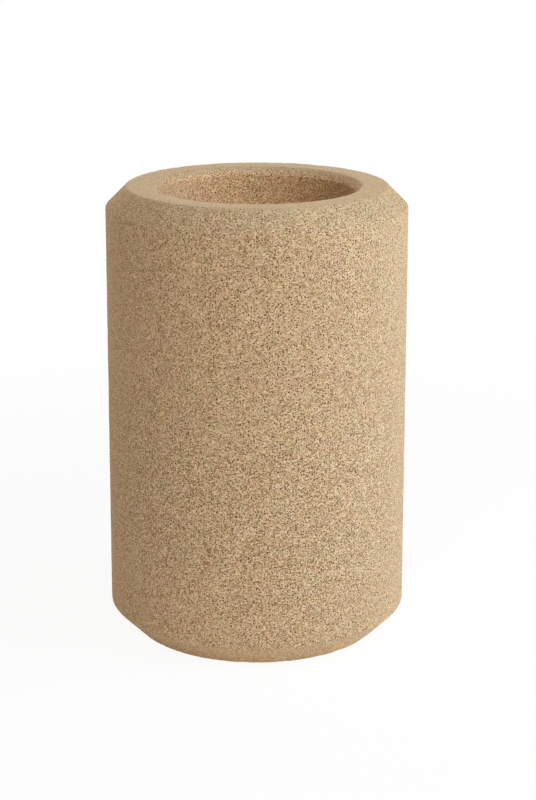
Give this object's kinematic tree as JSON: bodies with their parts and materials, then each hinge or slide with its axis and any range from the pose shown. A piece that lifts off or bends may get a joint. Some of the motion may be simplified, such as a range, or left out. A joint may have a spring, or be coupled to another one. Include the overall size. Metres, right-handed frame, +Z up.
{
  "type": "filter drier core",
  "caption": "Moulded porous desiccant block for a refrigeration filter drier: a thick open tube with bevelled ends, flat seating rings and a wide through bore.",
  "frame": {"origin": "on the bore axis at the level of the lower seating ring, on which the core stands", "axes": "+Z up along the bore axis, from the wider end to the narrower one; X and Y are free, because the part is round"},
  "size_m": [0.094, 0.094, 0.142],
  "materials": {
    "desiccant": "matt, porous bonded grains"
  },
  "bodies": {
    "root": {"core": "desiccant"}
  },
  "joints": []
}
